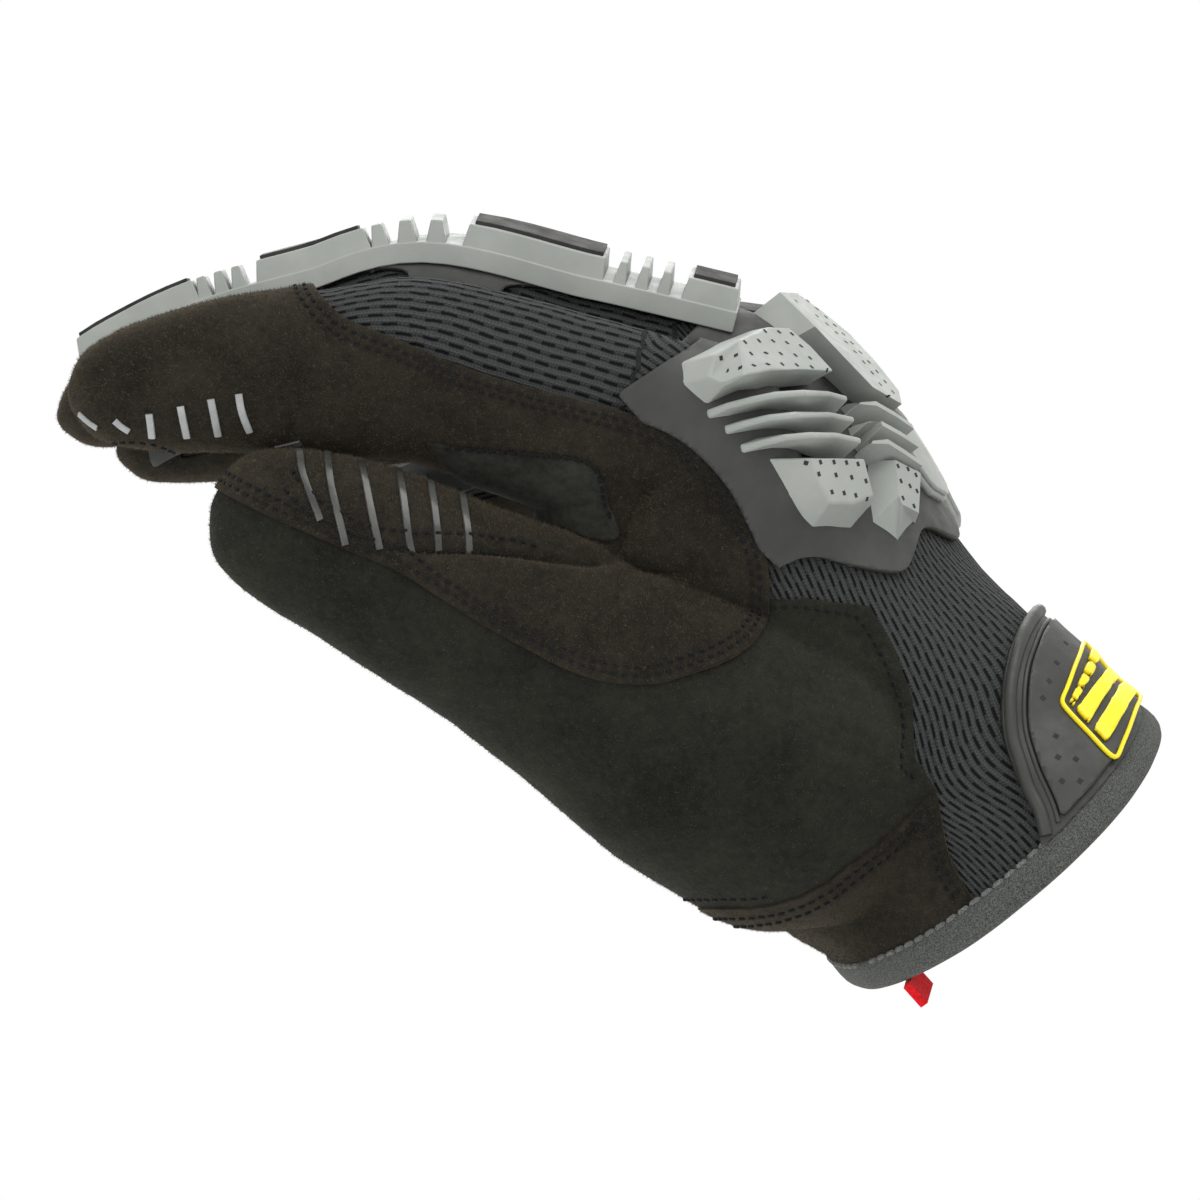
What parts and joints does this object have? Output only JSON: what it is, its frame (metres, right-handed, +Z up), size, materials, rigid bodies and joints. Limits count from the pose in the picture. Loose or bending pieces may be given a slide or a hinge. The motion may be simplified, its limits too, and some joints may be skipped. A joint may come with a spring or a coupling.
{
  "type": "mechanic glove",
  "caption": "Right-hand mechanic's impact glove in a half-closed shape, with rubber knuckle pads, ribbed finger guards, a suede palm and a rubber cuff tab",
  "frame": {"origin": "centre of the wrist opening, where the hand goes in", "axes": "+Z up as the worn hand is held; fingers point to -X, forearm side to +X; thumb side faces -Y, little finger +Y"},
  "size_m": [0.2101, 0.1021, 0.1486],
  "materials": {
    "suede": "brown-black brushed synthetic suede",
    "palm_suede": "black brushed synthetic suede",
    "knit": "dark charcoal ribbed knit",
    "grey_rubber": "satin grey moulded rubber",
    "dark_rubber": "satin dark grey moulded rubber",
    "inlay": "black moulded plate",
    "binding": "dark grey knit binding tape",
    "badge": "yellow moulded rubber",
    "pull": "red woven tape"
  },
  "bodies": {
    "root": {"index_sleeve": "suede", "middle_sleeve": "knit", "ring_sleeve": "knit", "little_sleeve": "knit", "thumb_sleeve": "palm_suede", "back_panel": "knit", "palm_panel": "palm_suede", "wrist_panel": "palm_suede", "saddle_patch": "suede", "knuckle_base": "dark_rubber", "knuckle_pad_index": "grey_rubber", "knuckle_pad_middle": "grey_rubber", "knuckle_pad_ring": "grey_rubber", "knuckle_pad_little": "grey_rubber", "middle_guard": "grey_rubber", "middle_inlay_1": "inlay", "middle_inlay_2": "inlay", "middle_inlay_3": "inlay", "middle_inlay_4": "inlay", "ring_guard": "grey_rubber", "ring_inlay_1": "inlay", "ring_inlay_2": "inlay", "ring_inlay_3": "inlay", "ring_inlay_4": "inlay", "little_guard": "grey_rubber", "little_inlay_1": "inlay", "little_inlay_2": "inlay", "little_inlay_3": "inlay", "cuff_binding": "binding", "cuff_tab": "dark_rubber", "cuff_badge": "badge", "pull_tab": "pull"}
  },
  "joints": []
}
